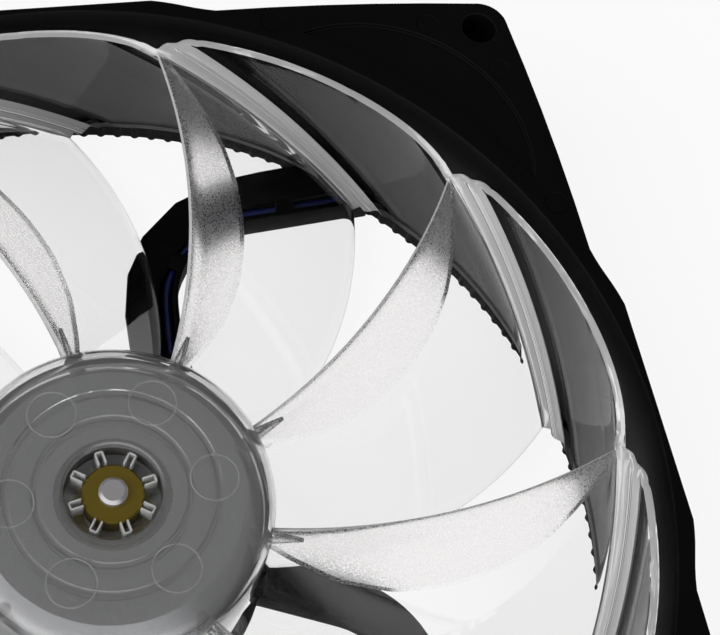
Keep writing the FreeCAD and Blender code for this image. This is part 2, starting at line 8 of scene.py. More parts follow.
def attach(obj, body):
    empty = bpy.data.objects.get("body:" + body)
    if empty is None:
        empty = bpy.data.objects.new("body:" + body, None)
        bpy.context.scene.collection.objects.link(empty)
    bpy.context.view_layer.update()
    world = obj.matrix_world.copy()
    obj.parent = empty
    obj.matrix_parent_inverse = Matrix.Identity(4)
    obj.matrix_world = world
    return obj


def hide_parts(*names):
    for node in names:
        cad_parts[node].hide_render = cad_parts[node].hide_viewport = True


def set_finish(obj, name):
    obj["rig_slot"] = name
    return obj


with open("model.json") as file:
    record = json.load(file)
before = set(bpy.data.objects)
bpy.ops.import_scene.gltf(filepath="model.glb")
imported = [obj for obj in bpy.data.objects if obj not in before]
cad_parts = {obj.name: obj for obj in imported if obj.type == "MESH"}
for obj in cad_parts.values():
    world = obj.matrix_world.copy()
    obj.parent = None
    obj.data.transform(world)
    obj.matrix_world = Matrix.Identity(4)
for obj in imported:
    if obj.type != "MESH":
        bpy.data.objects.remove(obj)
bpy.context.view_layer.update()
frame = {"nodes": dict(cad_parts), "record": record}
pieces = {}


def polar(radius, degrees, z=0.0):
    turn = math.radians(degrees)
    return Vector((radius * math.cos(turn), radius * math.sin(turn), z))


def nothingSelected():
    bpy.ops.object.select_all(action="DESELECT")


def onlyThis(piece):
    nothingSelected()
    piece.select_set(True)
    bpy.context.view_layer.objects.active = piece


def applied(piece, kind, **settings):
    onlyThis(piece)
    modifier = piece.modifiers.new(kind.title(), kind)
    for name, value in settings.items():
        setattr(modifier, name, value)
    bpy.ops.object.modifier_apply(modifier=modifier.name)


def outwardNormals(piece):
    onlyThis(piece)
    bpy.ops.object.mode_set(mode="EDIT")
    bpy.ops.mesh.select_all(action="SELECT")
    bpy.ops.mesh.normals_make_consistent(inside=False)
    bpy.ops.object.mode_set(mode="OBJECT")


def smoothed(piece, degrees=35):
    onlyThis(piece)
    bpy.ops.object.shade_smooth_by_angle(angle=math.radians(degrees))


def turned(name, outline, steps):
    nothingSelected()
    bpy.ops.mesh.primitive_circle_add(vertices=len(outline), radius=0.01)
    piece = bpy.context.object
    piece.name = piece.data.name = name
    for corner, (radius, height) in zip(piece.data.vertices, outline):
        corner.co = (radius, 0, height)
    bpy.ops.object.mode_set(mode="EDIT")
    bpy.ops.mesh.select_all(action="SELECT")
    bpy.ops.mesh.spin(steps=steps, angle=2 * math.pi, center=(0, 0, 0), axis=(0, 0, 1))
    bpy.ops.mesh.select_all(action="SELECT")
    bpy.ops.mesh.remove_doubles(threshold=1e-6)
    bpy.ops.mesh.normals_make_consistent(inside=False)
    bpy.ops.object.mode_set(mode="OBJECT")
    return piece


def joined(name, parts):
    nothingSelected()
    for part in parts:
        part.select_set(True)
    bpy.context.view_layer.objects.active = parts[0]
    bpy.ops.object.join()
    parts[0].name = parts[0].data.name = name
    return parts[0]


def turnedCopies(piece, count, firstAngle=0.0):
    copies = []
    for i in range(count):
        copy = piece.copy()
        copy.data = piece.data.copy()
        copy.data.transform(Matrix.Rotation(math.radians(firstAngle) + 2 * math.pi * i / count, 4, "Z"))
        bpy.context.scene.collection.objects.link(copy)
        copies.append(copy)
    bpy.data.objects.remove(piece)
    return copies


def placeApplied(piece):
    onlyThis(piece)
    bpy.ops.object.transform_apply(location=True, rotation=True, scale=True)


camera = {
    "place": (-0.010707, -0.051287, 0.169106),
    "right": (0.96293237, -0.21043897, 0.16875035),
    "down": (-0.11658219, -0.88882911, -0.4431607),
    "ahead": (0.24324851, 0.4070605, -0.88041576),
    "lens": 74.69,
}
eye = bpy.data.objects.new("camera", bpy.data.cameras.new("camera"))
bpy.context.scene.collection.objects.link(eye)
turn = Matrix((camera["right"], [-v for v in camera["down"]], [-v for v in camera["ahead"]])).transposed()
eye.matrix_world = Matrix.Translation(camera["place"]) @ turn.to_4x4()
eye.data.lens = camera["lens"]
eye.data.sensor_width = 36
eye.data.clip_start = 0.005
bpy.context.scene.camera = eye
bpy.context.scene.view_settings.view_transform = "Standard"
print("camera set")


lead = {
    "diameter": 0.003,
    "level": 0.0019,
    "route": ((0.02958, 0.06948), (0.0105, 0.07128), (-0.009, 0.07122)),
    "exit": (0.035165, 0.060568),
    "coilCentre": (-0.02598, 0.09048),
    "coilRadius": 0.0165,
    "firstTouch": -98.7,
    "pointsPerTurn": 14,
    "tail": ((0.009, -0.0004), (0.017, -0.0016), (0.025, -0.0034)),
    "connectorMiddle": 0.003,
}


def makeLead():
    level = lead["level"]
    points = [(*lead["exit"], level)] + [(x, y, level) for x, y in lead["route"]]
    turned = 2 * 360 + (lead["firstTouch"] % 360) - 90
    count = round(turned / 360 * lead["pointsPerTurn"])
    step = turned / count
    swell = 1 / math.cos(math.radians(step / 2))   # control points stand outside the round
    for i in range(count):
        angle = lead["firstTouch"] - step * (i + 0.5)
        rise = lead["diameter"] * min(2.0, (i + 0.5) * step / 360)
        place = polar(lead["coilRadius"] * swell, angle, level + rise)
        points.append((lead["coilCentre"][0] + place.x, lead["coilCentre"][1] + place.y, place.z))
    top = (lead["coilCentre"][0], lead["coilCentre"][1] + lead["coilRadius"])
    low = lead["connectorMiddle"]
    heights = (level + 2 * lead["diameter"], low, low)
    points += [(top[0] + x, top[1] + y, z) for (x, y), z in zip(lead["tail"], heights)]
    curve = bpy.data.curves.new("leadCord", "CURVE")
    curve.dimensions = "3D"
    spline = curve.splines.new("NURBS")
    spline.points.add(len(points) - 1)
    for slot, place in zip(spline.points, points):
        slot.co = (*place, 1)
        slot.radius = lead["diameter"] / 2
    spline.order_u = 3
    spline.use_endpoint_u = True
    spline.resolution_u = 8
    curve.bevel_depth = 1   # times each point's radius
    curve.bevel_resolution = 4
    curve.use_fill_caps = True
    cord = bpy.data.objects.new("leadCord", curve)
    bpy.context.scene.collection.objects.link(cord)
    return cord, points[0]


leadCord, leadExit = makeLead()
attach(leadCord, "frame")
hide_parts("lead_cable", "lead_coil", "lead_tail")
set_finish(leadCord, "cord_black")
pieces["leadCord"] = leadCord
print("lead made")


impeller = {
    "blades": 9,
    "firstTip": -3.3,
    "top": 0.024,
    "bottom": 0.0046,
    "ringRadius": 0.0576,
    "ringWall": 0.0009,
    "creaseDepth": 0.0025,
    "twist": 29.0,
    "levels": 20,
    "petalPoints": 72,
    "weldSteps": (23, 40),    # points of a petal where a flow line runs down it
    "weldDepth": 0.00003,
    "hubRadius": 0.017,
    "hubWall": 0.0012,
    "bladeRoot": 0.0014,
    "bladeTip": 0.0009,
    "camber": 0.22,
    "rootLead": 17.0,
    "rootTrail": 23.0,
    "rootTop": 0.0216,
    "alongBlade": 30,
    "acrossBlade": 32,
    "frostLines": 9,
    # how far back from the leading edge the frosted strip reaches, as (share of the way out, share)
    "frostShape": ((0.0, 0.10), (0.08, 0.19), (0.22, 0.29), (0.38, 0.325), (0.52, 0.31), (0.66, 0.27),
                   (0.78, 0.21), (0.88, 0.12), (0.95, 0.05), (1.0, 0.02)),
    # how far inside the ring's reach one petal stands, as (share of the way round, depth in mm):
    # the folds beside the crease, a long shallow arc, and the fall into the next crease
    "petalShape": ((0.0, 2.50), (0.008, 2.38), (0.018, 1.86), (0.030, 1.46), (0.046, 1.34),
                   (0.060, 1.24), (0.072, 0.80), (0.086, 0.50), (0.104, 0.36), (0.122, 0.40),
                   (0.134, 0.24), (0.165, 0.17), (0.28, 0.06), (0.42, 0.0), (0.56, 0.08), (0.68, 0.24),
                   (0.78, 0.50), (0.86, 0.88), (0.915, 1.30), (0.935, 1.50), (0.950, 1.72),
                   (0.965, 1.84), (0.980, 2.14), (1.0, 2.50)),
    "gather": 0.105,    # how strongly a petal's points crowd towards its creases
    # streaky folds with painted highlights and painted shade (2) and quiet dark ones (3) beside the crease,
    # by share of the way round
    "petalBands": ((0.0, 0.005, 2), (0.005, 0.026, 3), (0.026, 0.058, 2), (0.058, 0.082, 3),
                   (0.082, 0.096, 2), (0.096, 0.155, 3), (0.155, 0.162, 2), (0.162, 0.18, 3),
                   (0.840, 0.945, 3), (0.945, 0.955, 2), (0.955, 0.985, 3), (0.985, 0.992, 2),
                   (0.992, 1.0, 3)),
}


def frostWidth(out):
    shape = impeller["frostShape"]
    for (o0, w0), (o1, w1) in zip(shape, shape[1:]):
        if out <= o1 + 1e-6:
            t = (out - o0) / (o1 - o0)
            return w0 + (w1 - w0) * t
    return shape[-1][1]


def petalDepth(share):
    shape = impeller["petalShape"]
    for i in range(1, len(shape)):
        if share <= shape[i][0]:
            break
    (s0, d0), (s1, d1) = shape[i - 1], shape[i]
    run = s1 - s0
    before = after = (d1 - d0) / run
    if i > 1:
        before = (d1 - shape[i - 2][1]) / (s1 - shape[i - 2][0])
    if i + 1 < len(shape):
        after = (shape[i + 1][1] - d0) / (shape[i + 1][0] - s0)
    t = (share - s0) / run
    depth = ((2 * t ** 3 - 3 * t ** 2 + 1) * d0 + (t ** 3 - 2 * t ** 2 + t) * run * before
             + (3 * t ** 2 - 2 * t ** 3) * d1 + (t ** 3 - t ** 2) * run * after)
    return depth / 1000


def petalShare(step):
    even = step / impeller["petalPoints"]
    return even - math.sin(2 * math.pi * even) * impeller["gather"]


def bandOf(face):
    down = (impeller["top"] - face.center.z) / (impeller["top"] - impeller["bottom"])
    angle = math.degrees(math.atan2(face.center.y, face.center.x)) + impeller["twist"] * down
    share = ((impeller["firstTip"] - angle) * impeller["blades"] / 360) % 1
    for start, stop, band in impeller["petalBands"]:
        if start <= share < stop:
            return band
    return 0


def makeRing():
    count = impeller["blades"] * impeller["petalPoints"]
    nothingSelected()
    bpy.ops.mesh.primitive_circle_add(vertices=count, radius=impeller["ringRadius"])
    ring = bpy.context.object
    ring.name = ring.data.name = "impellerRing"
    pitch = 360 / impeller["blades"]
    for i, corner in enumerate(ring.data.vertices):
        petal, step = divmod(i, impeller["petalPoints"])
        share = petalShare(step)
        weld = impeller["weldDepth"] if step in impeller["weldSteps"] else 0
        radius = impeller["ringRadius"] - petalDepth(share) - weld
        corner.co = polar(radius, impeller["firstTip"] - pitch * (petal + share), impeller["top"])
    bpy.ops.object.mode_set(mode="EDIT")
    bpy.ops.mesh.select_all(action="SELECT")
    drop = (impeller["top"] - impeller["bottom"]) / impeller["levels"]
    twist = math.radians(impeller["twist"]) / impeller["levels"]
    for level in range(impeller["levels"]):
        bpy.ops.mesh.extrude_region_move(TRANSFORM_OT_translate={"value": (0, 0, -drop)})
        bpy.ops.transform.rotate(value=twist, orient_axis="Z", center_override=(0, 0, 0))
    bpy.ops.mesh.select_all(action="SELECT")
    bpy.ops.mesh.normals_make_consistent(inside=False)
    bpy.ops.object.mode_set(mode="OBJECT")
    return ring


def addSlots(piece, names):
    for name in names:
        piece.data.materials.append(bpy.data.materials.get(name) or bpy.data.materials.new(name))


ring = makeRing()
addSlots(ring, ("clearMoulding", "rimMoulding", "streakMoulding", "quietMoulding"))
for face in ring.data.polygons:
    face.material_index = bandOf(face)
applied(ring, "SOLIDIFY", thickness=impeller["ringWall"], offset=-1, use_even_offset=False)
for corner in ring.data.vertices:   # a slanted rim edge is levelled
    corner.co.z = min(max(corner.co.z, impeller["bottom"]), impeller["top"])
applied(ring, "BEVEL", width=0.0001, segments=2, limit_method="ANGLE", angle_limit=math.radians(55))
for face in ring.data.polygons:   # the parting edges above and below catch the light
    if abs(face.normal.z) > 0.6:
        face.material_index = 1
    elif face.normal.x * face.center.x + face.normal.y * face.center.y > 0:
        face.material_index = 3 if face.material_index > 1 else 0   # the outer wall has no streaks
smoothed(ring, 40)


def bladePlace(radius, share, tip):
    crease = impeller["ringRadius"] - impeller["creaseDepth"]
    span = (radius - impeller["hubRadius"]) / (crease - impeller["hubRadius"])
    low = max(span, 0.0)
    lead = tip - impeller["rootLead"] * (1 - span)
    trail = tip - impeller["twist"] - impeller["rootTrail"] * (1 - low ** 1.25)
    high = impeller["top"] - 0.0004
    top = high - (high - impeller["rootTop"]) * (1 - low) ** 2
    foot = impeller["bottom"] + impeller["bladeTip"] / 2
    drop = share - impeller["camber"] * (1 - low) * share * (1 - share)
    return polar(radius, lead + (trail - lead) * share, top + (foot - top) * drop)


def makeBlades():
    nothingSelected()
    bpy.ops.mesh.primitive_grid_add(x_subdivisions=impeller["alongBlade"],
                                    y_subdivisions=impeller["acrossBlade"], size=1)
    blade = bpy.context.object
    blade.name = blade.data.name = "impellerBlades"
    inner = impeller["hubRadius"] - impeller["hubWall"] * 0.6
    outer = impeller["ringRadius"] - impeller["creaseDepth"] - impeller["ringWall"] * 0.3
    thin = blade.vertex_groups.new(name="thin")
    gridLine = [round((corner.co.y + 0.5) * impeller["acrossBlade"]) for corner in blade.data.vertices]
    for corner in blade.data.vertices:
        out = corner.co.x + 0.5
        line = round((corner.co.y + 0.5) * impeller["acrossBlade"])
        wide = frostWidth(out)
        if line <= impeller["frostLines"]:
            share = wide * line / impeller["frostLines"]
        else:
            rest = (line - impeller["frostLines"]) / (impeller["acrossBlade"] - impeller["frostLines"])
            share = wide + (1 - wide) * rest
        corner.co = bladePlace(inner + (outer - inner) * out, share, impeller["firstTip"])
        edge = min(share, 1 - share) / 0.03
        thin.add([corner.index], (1 - 0.36 * out) * (0.42 + 0.58 * min(edge, 1)), "REPLACE")
    for face in blade.data.polygons:   # the strip behind the leading edge is frosted
        line = min(gridLine[i] for i in face.vertices)
        face.material_index = 1 if line < impeller["frostLines"] else 0
    addSlots(blade, ("clearMoulding", "frostedMoulding", "edgeMoulding"))
    outwardNormals(blade)
    applied(blade, "SOLIDIFY", thickness=impeller["bladeRoot"], offset=0, vertex_group="thin",
            use_even_offset=True, material_offset_rim=1)
    applied(blade, "BEVEL", width=0.00016, segments=2, limit_method="ANGLE",
            angle_limit=math.radians(50))
    copies = [blade]
    for i in range(1, impeller["blades"]):
        copy = blade.copy()
        copy.data = blade.data.copy()
        copy.data.transform(Matrix.Rotation(2 * math.pi * i / impeller["blades"], 4, "Z"))
        bpy.context.scene.collection.objects.link(copy)
        copies.append(copy)
    nothingSelected()
    for copy in copies:
        copy.select_set(True)
    bpy.context.view_layer.objects.active = blade
    bpy.ops.object.join()
    smoothed(blade, 40)
    return blade


blades = makeBlades()

hub = {
    "outline": ((0.0158, 0.0047), (0.017, 0.0047), (0.017, 0.0206), (0.01674, 0.0219),
                (0.016, 0.02302), (0.0149, 0.02374), (0.0136, 0.024), (0.0112, 0.024),
                (0.01105, 0.02378), (0.0106, 0.02378), (0.01045, 0.024), (0.0083, 0.024),
                (0.00815, 0.02378), (0.0077, 0.02378), (0.00755, 0.024), (0.0053, 0.024),
                (0.00505, 0.02375), (0.00505, 0.0208), (0.0032, 0.0208), (0.0032, 0.0198),
                (0.0054, 0.0198), (0.0054, 0.0225), (0.0136, 0.0225), (0.0149, 0.0218),
                (0.0158, 0.0206)),
    "steps": 128,
    "marks": 6,
    "markPlace": (0.0104, -1.0),     # distance from the axis, degrees
    "markRadius": 0.0025,
    "ribs": 8,
    "ribSize": (0.0013, 0.0002, 0.0022),
    "ribMiddle": (0.0039, 0.0224),
    "ribGap": 0.00075,
    "gusset": (0.0036, 0.0026, 0.0005),   # reach along the blade, height, thickness
}


def makeHubMarks():
    nothingSelected()
    reach, angle = hub["markPlace"]
    bpy.ops.mesh.primitive_torus_add(location=(reach, 0, hub["outline"][6][1] - 0.00002),
                                     major_radius=hub["markRadius"], minor_radius=0.00006,
                                     major_segments=40, minor_segments=8)
    mark = bpy.context.object
    placeApplied(mark)
    return joined("hubMarks", turnedCopies(mark, hub["marks"], angle))


def makeStarRibs():
    parts = []
    for side in (-1, 1):
        nothingSelected()
        bpy.ops.mesh.primitive_cube_add(size=1, location=(hub["ribMiddle"][0], side * hub["ribGap"] / 2,
                                                          hub["ribMiddle"][1]), scale=hub["ribSize"])
        parts.append(bpy.context.object)
        placeApplied(parts[-1])
    nothingSelected()
    outerEnd = hub["ribMiddle"][0] + hub["ribSize"][0] / 2
    bpy.ops.mesh.primitive_cube_add(size=1, location=(outerEnd, 0, hub["ribMiddle"][1]),
                                    scale=(hub["ribSize"][1], hub["ribGap"], hub["ribSize"][2]))
    parts.append(bpy.context.object)
    placeApplied(parts[-1])
    rib = joined("starRib", parts)
    applied(rib, "BEVEL", width=0.00005, segments=2)
    return joined("starRibs", turnedCopies(rib, hub["ribs"], 11))


def makeGussets():
    nothingSelected()
    reach, height, thick = hub["gusset"]
    bpy.ops.mesh.primitive_circle_add(vertices=3, radius=0.001, fill_type="NGON")
    gusset = bpy.context.object
    start = impeller["hubRadius"] - 0.0004
    for corner, (out, drop) in zip(gusset.data.vertices, ((0, 0), (reach, 0.0004), (0, height))):
        corner.co = (start + out, 0, impeller["rootTop"] + 0.0002 - drop)
    applied(gusset, "SOLIDIFY", thickness=thick, offset=0)
    applied(gusset, "BEVEL", width=0.00008, segments=2)
    return joined("rootGussets", turnedCopies(gusset, impeller["blades"],
                                              impeller["firstTip"] - impeller["rootLead"] - 1.5))


hubShell = turned("hubShell", hub["outline"], hub["steps"])
applied(hubShell, "BEVEL", width=0.00006, segments=2, limit_method="ANGLE", angle_limit=math.radians(40))
smoothed(hubShell, 40)
hubMarks, starRibs, rootGussets = makeHubMarks(), makeStarRibs(), makeGussets()
for piece in (hubMarks, starRibs, rootGussets):
    smoothed(piece, 40)
    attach(piece, "rotor")
    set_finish(piece, "clear_moulding")
    pieces[piece.name] = piece
for piece in (ring, blades, hubShell):
    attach(piece, "rotor")
    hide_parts("impeller")
    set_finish(piece, "clear_moulding")
    pieces[piece.name] = piece
print("impeller made")


housing = {
    "edge": 0.00012,
    "sharp": 38,
    "flutes": 166,
    "pointsPerFlute": 10,
    "fluteRadius": 0.05835,
    "fluteDepth": 0.0003,
    "fluteTop": 0.0038,
    "tube": (0.0034, 0.00215, 0.0046, 0.0204),   # outer and inner radius, low and high
    "holePlace": 0.0525,
    "pinMarks": ((0.0461, 0.0536), (0.0270, 0.0556)),
    "coverRoute": ((0.0083, 0.0165), (0.0083, 0.0205), (0.00835, 0.0245), (0.0085, 0.0285), (0.0095, 0.0332),
                   (0.0122, 0.0378), (0.0163, 0.0415), (0.0211, 0.0434), (0.026, 0.0441), (0.031, 0.0446),
                   (0.0355, 0.0449), (0.0395, 0.0452)),
    "coverWide": (0.0031, 0.0016),    # how far the cover reaches outwards and inwards of that line
    "coverHeights": (0.0031, 0.0041),
}


def softenedCopy(name, source):
    piece = source.copy()
    piece.data = source.data.copy()
    piece.name = piece.data.name = name
    bpy.context.scene.collection.objects.link(piece)
    onlyThis(piece)
    bpy.ops.object.mode_set(mode="EDIT")
    bpy.ops.mesh.select_all(action="SELECT")
    bpy.ops.mesh.remove_doubles(threshold=2e-6)
    bpy.ops.mesh.dissolve_limited(angle_limit=math.radians(0.6))
    bpy.ops.object.mode_set(mode="OBJECT")
    return piece


frameShell = softenedCopy("frameShell", frame["nodes"]["frame_housing"])
frameShell.data.materials.clear()
addSlots(frameShell, ("frameMoulding", "frameEdge"))
# the bevel faces take slot 1, whose lighter colour is a painted highlight along the edges
applied(frameShell, "BEVEL", width=housing["edge"], segments=2, limit_method="ANGLE",
        angle_limit=math.radians(housing["sharp"]), use_clamp_overlap=False, miter_outer="MITER_ARC",
        material=1)
smoothed(frameShell, 32)
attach(frameShell, "frame")
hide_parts("frame_housing")
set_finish(frameShell, "black_moulding")
pieces["frameShell"] = frameShell


relief = {
    "start": (0.03702, 0.0576, 0.0019),
    "ahead": (-0.53, 0.848, 0.0),
    "length": 0.006,
    "radius": 0.0018,
    "endRadius": 0.00156,
    "grooves": 5,
    "grooveDepth": 0.00014,
}


def makeStrainRelief():
    outline = [(0, 0), (relief["radius"], 0), (relief["radius"], 0.0007)]
    pitch = (relief["length"] - 0.0014) / relief["grooves"]
    for i in range(relief["grooves"]):
        start = 0.0010 + pitch * i
        slim = relief["radius"] + (relief["endRadius"] - relief["radius"]) * start / relief["length"]
        for along, cut in ((0, 0), (0.15, 1), (0.5, 1), (0.65, 0)):
            outline.append((slim - cut * relief["grooveDepth"], start + along * pitch))
    outline += [(relief["endRadius"], relief["length"]), (0, relief["length"])]
    piece = turned("strainRelief", outline, 40)
    lay = Vector((0, 0, 1)).rotation_difference(Vector(relief["ahead"])).to_matrix().to_4x4()
    piece.data.transform(Matrix.Translation(relief["start"]) @ lay)
    smoothed(piece, 40)
    return piece


strainRelief = makeStrainRelief()
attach(strainRelief, "frame")
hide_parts("lead_collar")
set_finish(strainRelief, "black_moulding")
pieces["strainRelief"] = strainRelief
print("strain relief made")


def makeFlutes():
    nothingSelected()
    count = housing["flutes"] * housing["pointsPerFlute"]
    bpy.ops.mesh.primitive_circle_add(vertices=count, radius=housing["fluteRadius"], location=(0, 0, 0))
    flutes = bpy.context.object
    flutes.name = flutes.data.name = "rimFlutes"
    for i, corner in enumerate(flutes.data.vertices):
        swell = max(0, math.sin(2 * math.pi * i / housing["pointsPerFlute"]))
        corner.co = polar(housing["fluteRadius"] - 0.0002 - housing["fluteDepth"] * swell,
                          360 * i / count, 0.0002)
    bpy.ops.object.mode_set(mode="EDIT")
    bpy.ops.mesh.select_all(action="SELECT")
    bpy.ops.mesh.extrude_region_move(TRANSFORM_OT_translate={"value": (0, 0, housing["fluteTop"] - 0.0002)})
    bpy.ops.mesh.select_all(action="SELECT")
    bpy.ops.mesh.normals_make_consistent(inside=False)
    bpy.ops.object.mode_set(mode="OBJECT")
    applied(flutes, "SOLIDIFY", thickness=0.0006, offset=1)
    smoothed(flutes, 50)
    return flutes


def makeScrewTubes():
    outer, inner, low, high = housing["tube"]
    tube = turned("screwTube", ((inner, low), (outer, low), (outer, high), (inner, high)), 40)
    tube.data.transform(Matrix.Translation((housing["holePlace"], housing["holePlace"], 0)))
    tubes = joined("screwTubes", turnedCopies(tube, 4))
    smoothed(tubes, 40)
    return tubes


def makeStrutCover():
    nothingSelected()
    bpy.ops.mesh.primitive_grid_add(x_subdivisions=len(housing["coverRoute"]) - 1, y_subdivisions=3, size=1)
    cover = bpy.context.object
    cover.name = cover.data.name = "strutCover"
    route = [Vector((*p, 0)) for p in housing["coverRoute"]]
    outwards, inwards = housing["coverWide"]
    low, high = housing["coverHeights"]
    for corner in cover.data.vertices:
        along = round((corner.co.x + 0.5) * (len(route) - 1))
        across = round((corner.co.y + 0.5) * 3)
        run = route[min(along + 1, len(route) - 1)] - route[max(along - 1, 0)]
        side = Vector((-run.y, run.x, 0)).normalized()
        reach = (-inwards, -inwards + 0.0007, outwards - 0.0009, outwards)[across]
        corner.co = route[along] + side * reach
        corner.co.z = (high - 0.0004, high - 0.0001, high - 0.0001, high)[across]
    outwardNormals(cover)
    if cover.data.polygons[0].normal.z < 0:
        cover.data.flip_normals()
    applied(cover, "SOLIDIFY", thickness=high - low, offset=-1)
    applied(cover, "SUBSURF", levels=1, render_levels=1, subdivision_type="SIMPLE")
    applied(cover, "BEVEL", width=0.00015, segments=3, limit_method="ANGLE", angle_limit=math.radians(40))
    smoothed(cover, 40)
    return cover


for piece in (makeFlutes(), makeScrewTubes(), makeStrutCover()):
    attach(piece, "frame")
    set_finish(piece, "black_moulding")
    pieces[piece.name] = piece
print("frame pieces made")


def newMaterial(name):
    material = bpy.data.materials.get(name) or bpy.data.materials.new(name)
    material.use_nodes = True
    nodes = material.node_tree.nodes
    return material, nodes, material.node_tree.links, nodes["Principled BSDF"]


def makeGrainGroup():
    group = bpy.data.node_groups.new("grain", "ShaderNodeTree")
    for name in ("Scale", "Detail", "From Min", "From Max", "To Min", "To Max"):
        group.interface.new_socket(name=name, in_out="INPUT", socket_type="NodeSocketFloat")
    for name in ("Level", "Tone"):
        group.interface.new_socket(name=name, in_out="OUTPUT", socket_type="NodeSocketFloat")
    given = group.nodes.new("NodeGroupInput")
    result = group.nodes.new("NodeGroupOutput")
    place = group.nodes.new("ShaderNodeTexCoord")
    noise = group.nodes.new("ShaderNodeTexNoise")
    tone = group.nodes.new("ShaderNodeMapRange")
    group.links.new(place.outputs["Object"], noise.inputs["Vector"])
    for name in ("Scale", "Detail"):
        group.links.new(given.outputs[name], noise.inputs[name])
    for name in ("From Min", "From Max", "To Min", "To Max"):
        group.links.new(given.outputs[name], tone.inputs[name])
    group.links.new(noise.outputs["Fac"], tone.inputs["Value"])
    group.links.new(noise.outputs["Fac"], result.inputs["Level"])
    group.links.new(tone.outputs["Result"], result.inputs["Tone"])
    return group


grainGroup = makeGrainGroup()


def addGrain(nodes, scale, detail, tone=(0, 1), seen=(0, 1)):
    grain = nodes.new("ShaderNodeGroup")   # noise, and its part between seen turned into tone
    grain.node_tree = grainGroup
    values = (scale, detail, *seen, *tone)
    for name, value in zip(("Scale", "Detail", "From Min", "From Max", "To Min", "To Max"), values):
        grain.inputs[name].default_value = value
    return grain


def addBump(nodes, links, height, shader, strength, distance):
    bump = nodes.new("ShaderNodeBump")
    bump.inputs["Strength"].default_value = strength
    bump.inputs["Distance"].default_value = distance
    links.new(height, bump.inputs["Height"])
    links.new(bump.outputs["Normal"], shader.inputs["Normal"])


def plainFinish(name, color, roughness, metallic=0.0, grain=0.0, scale=900.0, coat=0.0):
    material, nodes, links, shader = newMaterial(name)
    cloud = addGrain(nodes, 60, 4, (roughness - 0.06, roughness + 0.06))
    links.new(cloud.outputs["Tone"], shader.inputs["Roughness"])
    ramp = nodes.new("ShaderNodeMix")
    ramp.data_type = "RGBA"
    ramp.inputs["A"].default_value = (*[v * 0.88 for v in color], 1)
    ramp.inputs["B"].default_value = (*[min(v * 1.12, 1) for v in color], 1)
    links.new(cloud.outputs["Level"], ramp.inputs["Factor"])
    links.new(ramp.outputs["Result"], shader.inputs["Base Color"])
    shader.inputs["Metallic"].default_value = metallic
    shader.inputs["Coat Weight"].default_value = coat
    if grain:
        addBump(nodes, links, addGrain(nodes, scale, 3).outputs["Level"], shader, grain, 0.00005)
    return material


def clearFinish(name, roughness=0.015, clear=1.0, bend=1.54, metal=0.0):
    material, nodes, links, shader = newMaterial(name)
    shader.inputs["Base Color"].default_value = (0.995, 0.995, 0.995, 1)
    shader.inputs["Transmission Weight"].default_value = clear
    shader.inputs["Metallic"].default_value = metal
    shader.inputs["IOR"].default_value = bend
    links.new(addGrain(nodes, 120, 2, (0, roughness * 2)).outputs["Tone"], shader.inputs["Roughness"])
    return material


def frameFinish(name, lift=1.0, smoother=0.0):
    material, nodes, links, shader = newMaterial(name)
    place = nodes.new("ShaderNodeTexCoord")
    cloud = addGrain(nodes, 70, 5, (0.40 - smoother, 0.54 - smoother))
    links.new(cloud.outputs["Tone"], shader.inputs["Roughness"])
    shade = nodes.new("ShaderNodeMix")
    shade.data_type = "RGBA"
    shade.inputs["A"].default_value = (0.0010 * lift, 0.0010 * lift, 0.0011 * lift, 1)
    shade.inputs["B"].default_value = (0.0024 * lift, 0.0024 * lift, 0.0026 * lift, 1)
    links.new(cloud.outputs["Level"], shade.inputs["Factor"])
    links.new(shade.outputs["Result"], shader.inputs["Base Color"])
    shader.inputs["Specular IOR Level"].default_value = 0.1
    # pin marks on the ears, the same eight times: fold the place by its signs and its diagonal
    fold = nodes.new("ShaderNodeVectorMath")
    fold.operation = "ABSOLUTE"
    links.new(place.outputs["Object"], fold.inputs[0])
    apart = nodes.new("ShaderNodeSeparateXYZ")
    links.new(fold.outputs["Vector"], apart.inputs[0])
    ends = []
    for kind in ("MINIMUM", "MAXIMUM"):
        end = nodes.new("ShaderNodeMath")
        end.operation = kind
        links.new(apart.outputs["X"], end.inputs[0])
        links.new(apart.outputs["Y"], end.inputs[1])
        ends.append(end)
    folded = nodes.new("ShaderNodeCombineXYZ")
    links.new(ends[0].outputs[0], folded.inputs["X"])
    links.new(ends[1].outputs[0], folded.inputs["Y"])
    dents = []
    for x, y in housing["pinMarks"]:
        away = nodes.new("ShaderNodeVectorMath")
        away.operation = "DISTANCE"
        away.inputs[1].default_value = (x, y, 0)
        links.new(folded.outputs[0], away.inputs[0])
        dent = nodes.new("ShaderNodeMapRange")
        dent.interpolation_type = "SMOOTHSTEP"
        dent.inputs["From Min"].default_value = 0.0013
        dent.inputs["From Max"].default_value = 0.00155
        links.new(away.outputs["Value"], dent.inputs["Value"])
        dents.append(dent)
    marks = nodes.new("ShaderNodeMath")
    marks.operation = "MINIMUM"
    links.new(dents[0].outputs[0], marks.inputs[0])
    links.new(dents[1].outputs[0], marks.inputs[1])
    height = nodes.new("ShaderNodeMath")
    height.operation = "MULTIPLY_ADD"
    height.inputs[1].default_value = 0.10
    links.new(addGrain(nodes, 1500, 3).outputs["Level"], height.inputs[0])
    links.new(marks.outputs[0], height.inputs[2])
    addBump(nodes, links, height.outputs[0], shader, 0.8, 0.0002)
    return material


